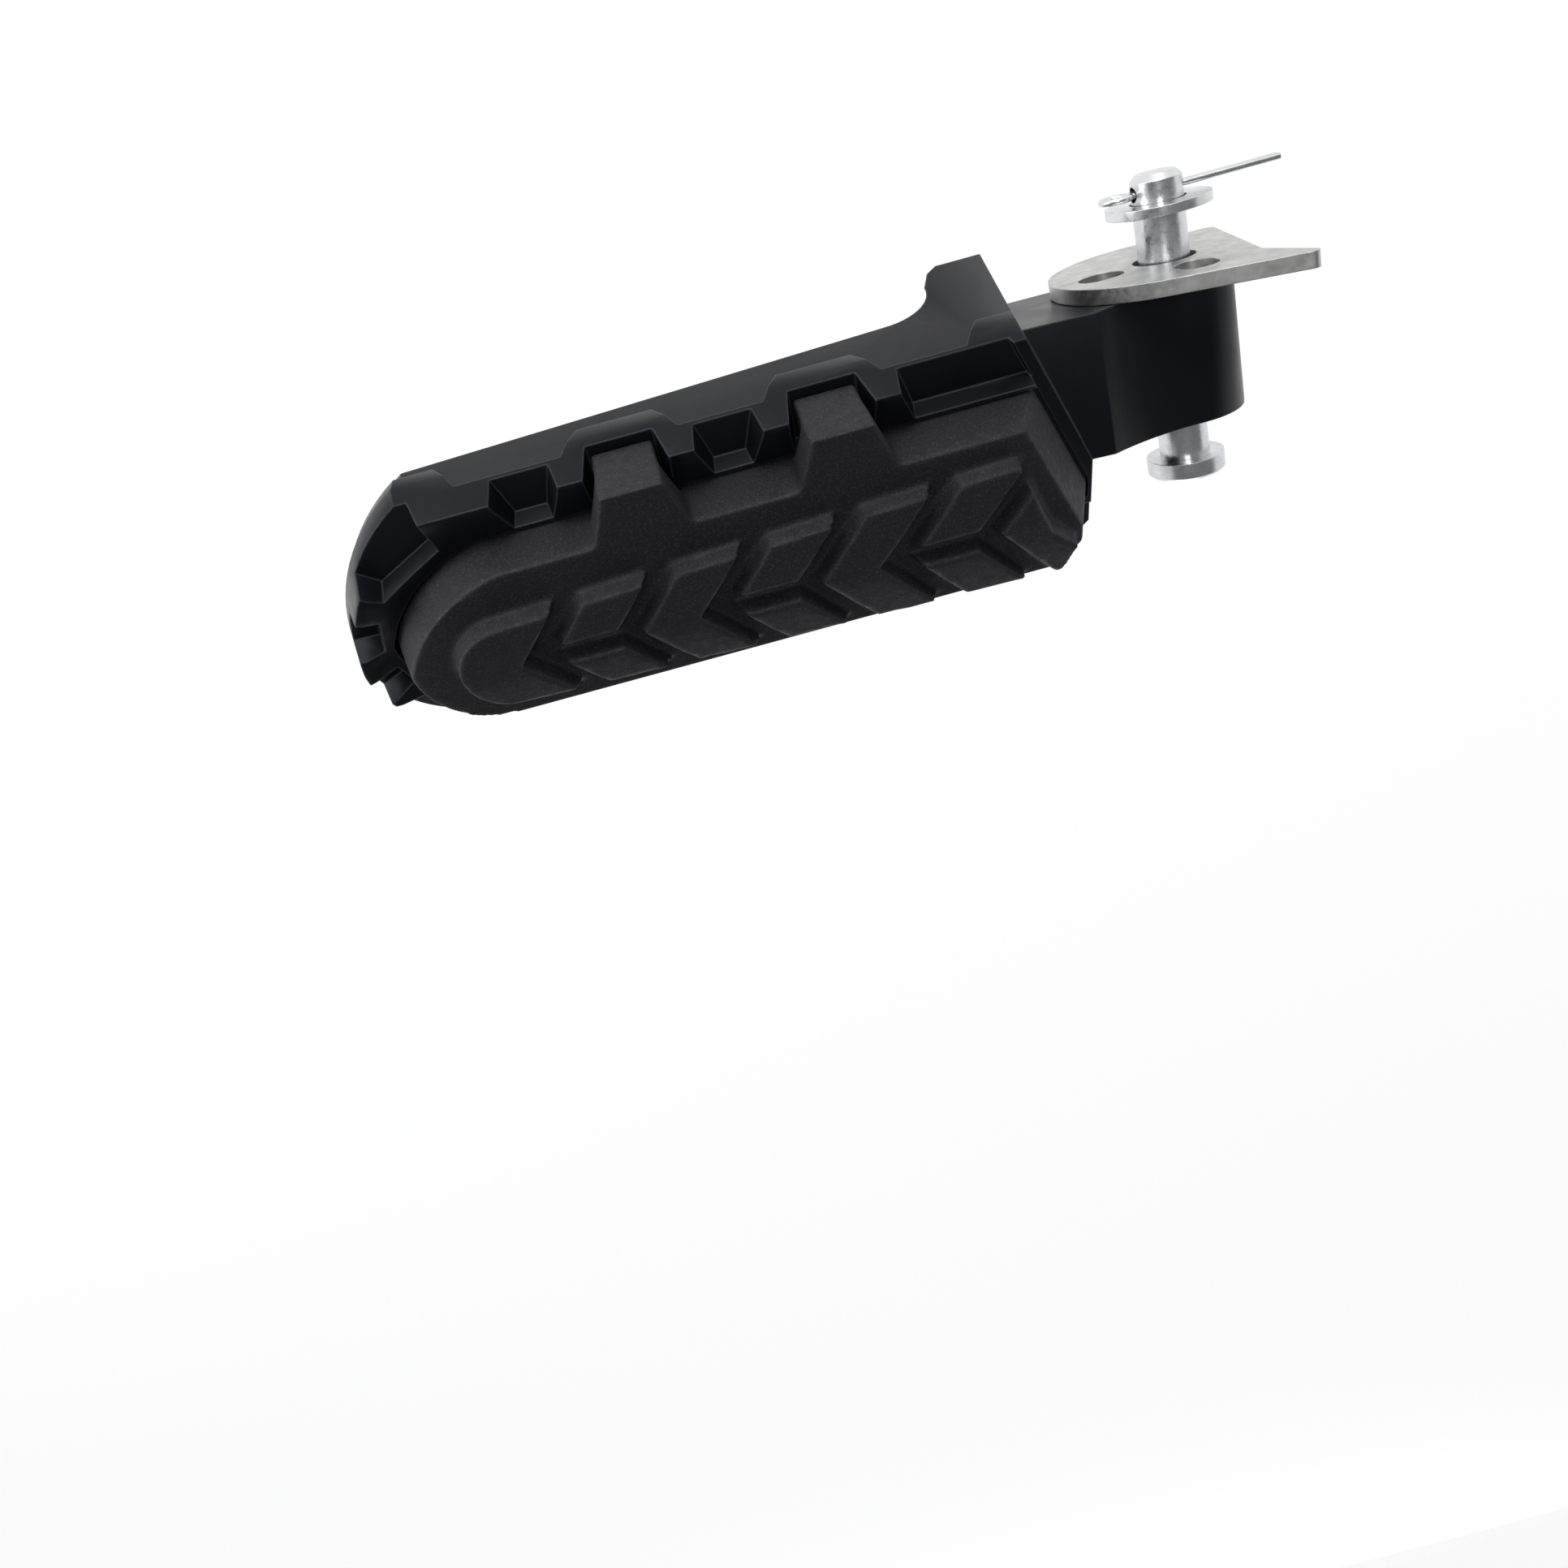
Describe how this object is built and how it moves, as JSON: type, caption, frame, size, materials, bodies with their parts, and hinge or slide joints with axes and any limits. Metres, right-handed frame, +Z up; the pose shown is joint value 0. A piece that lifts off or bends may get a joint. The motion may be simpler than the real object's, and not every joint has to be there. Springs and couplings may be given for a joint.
{
  "type": "passenger footrest",
  "caption": "Folding passenger footrest for a motorbike: a cast peg with a crenellated rim, a chevron rubber tread and a sprung ball detent on its leaning hinge.",
  "frame": {"origin": "on the hinge axis, half way through the tongue", "axes": "+X outward along the peg to its tip, +Z up out of the tread; the hinge axis lies across X and leans 23 degrees"},
  "size_m": [0.1296, 0.0397, 0.0449],
  "materials": {
    "casting_paint": "satin black coating",
    "tread_rubber": "matte, fine grain",
    "plate_steel": "satin, mottled",
    "dark_steel": "glossy dark oxide",
    "zinc_steel": "bright zinc",
    "ball_steel": "polished",
    "spring_steel": "black oxide"
  },
  "bodies": {
    "hinge_hardware": {"clevis_pin": "zinc_steel", "pivot_bush": "dark_steel", "detent_plate": "plate_steel", "pin_washer": "zinc_steel", "cotter_pin": "zinc_steel"},
    "footrest": {"footrest_casting": "casting_paint", "tread_rubber": "tread_rubber", "pad_backing_plate": "plate_steel", "pad_bolts": "zinc_steel", "detent_spring": "spring_steel"},
    "ball": {"detent_ball": "ball_steel"}
  },
  "joints": [
    {"name": "fold", "type": "hinge", "parent": "hinge_hardware", "child": "footrest", "pos_m": [0, 0, 0], "axis": [0, -0.9205, -0.3907], "range_deg": [0, 82.5]},
    {"name": "detent", "type": "slide", "parent": "footrest", "child": "ball", "axis": [0, -0.9205, -0.3907], "range_m": [0, 0.0011], "stiffness_N_per_m": 40, "springref_m": 0.005}
  ]
}
